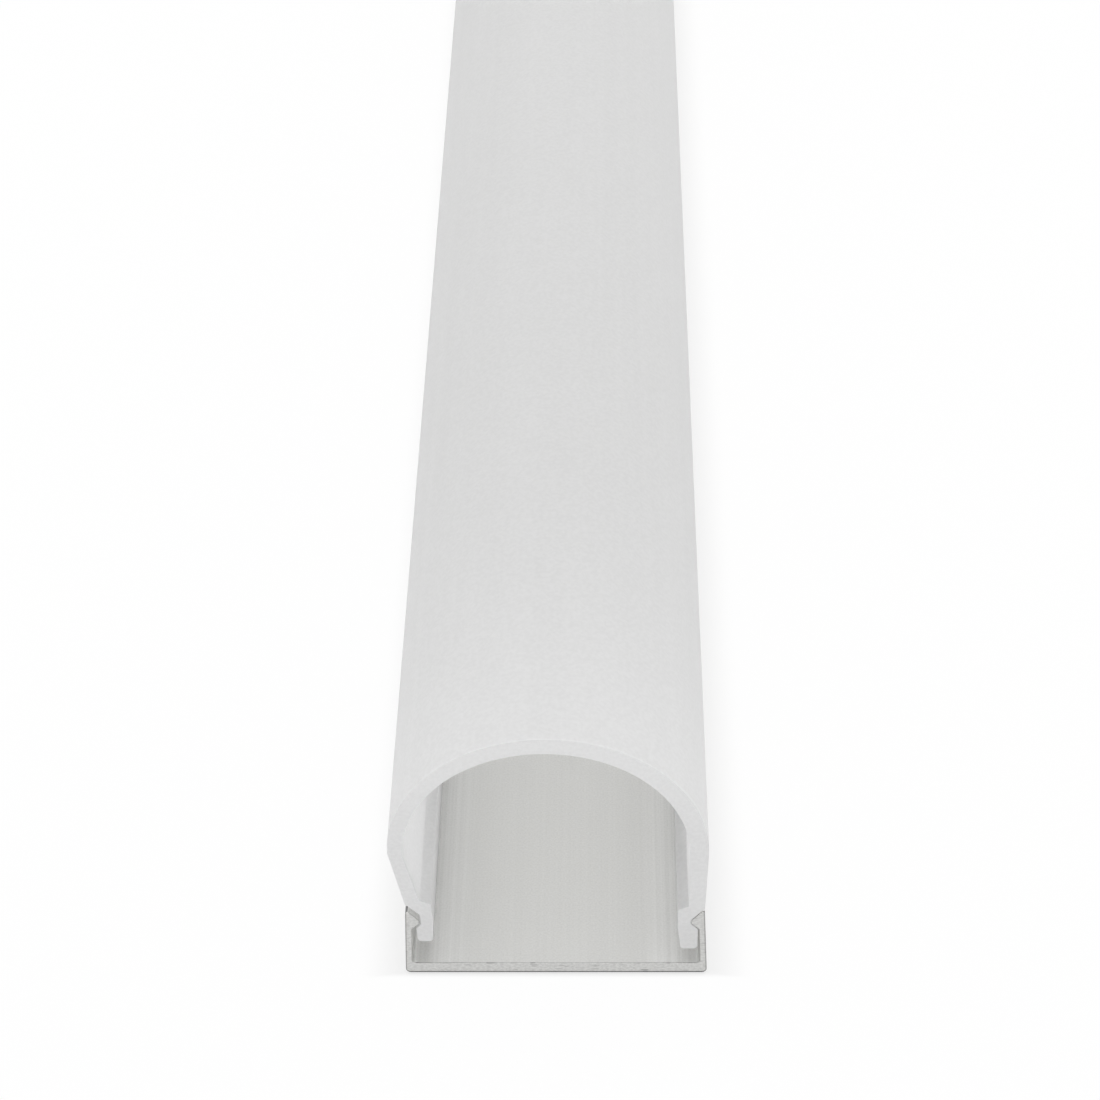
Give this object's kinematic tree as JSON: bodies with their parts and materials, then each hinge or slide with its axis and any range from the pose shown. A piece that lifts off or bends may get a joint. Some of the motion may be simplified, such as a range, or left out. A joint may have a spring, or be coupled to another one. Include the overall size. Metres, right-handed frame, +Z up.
{
  "type": "led strip aluminium profile",
  "caption": "Shallow aluminium channel for LED strip with a round opal cover snapped into its side hooks; a straight length, open at both ends.",
  "frame": {"origin": "middle of the channel's underside, halfway along the bar", "axes": "+Y along the bar, +Z up out of the channel towards the round cover, +X across"},
  "size_m": [0.0247, 0.5, 0.0262],
  "materials": {
    "anodised_aluminium": "matte silver anodised, fine lines along the bar, sawn ends",
    "opal_plastic": "frosted opal white, smooth with a soft sheen, sawn ends"
  },
  "bodies": {
    "channel_body": {"channel": "anodised_aluminium"},
    "cover_body": {"diffuser_cover": "opal_plastic"}
  },
  "joints": [
    {"name": "cover_slide", "type": "slide", "parent": "channel_body", "child": "cover_body", "axis": [0, 1, 0], "range_m": [-0.51, 0.51]}
  ]
}
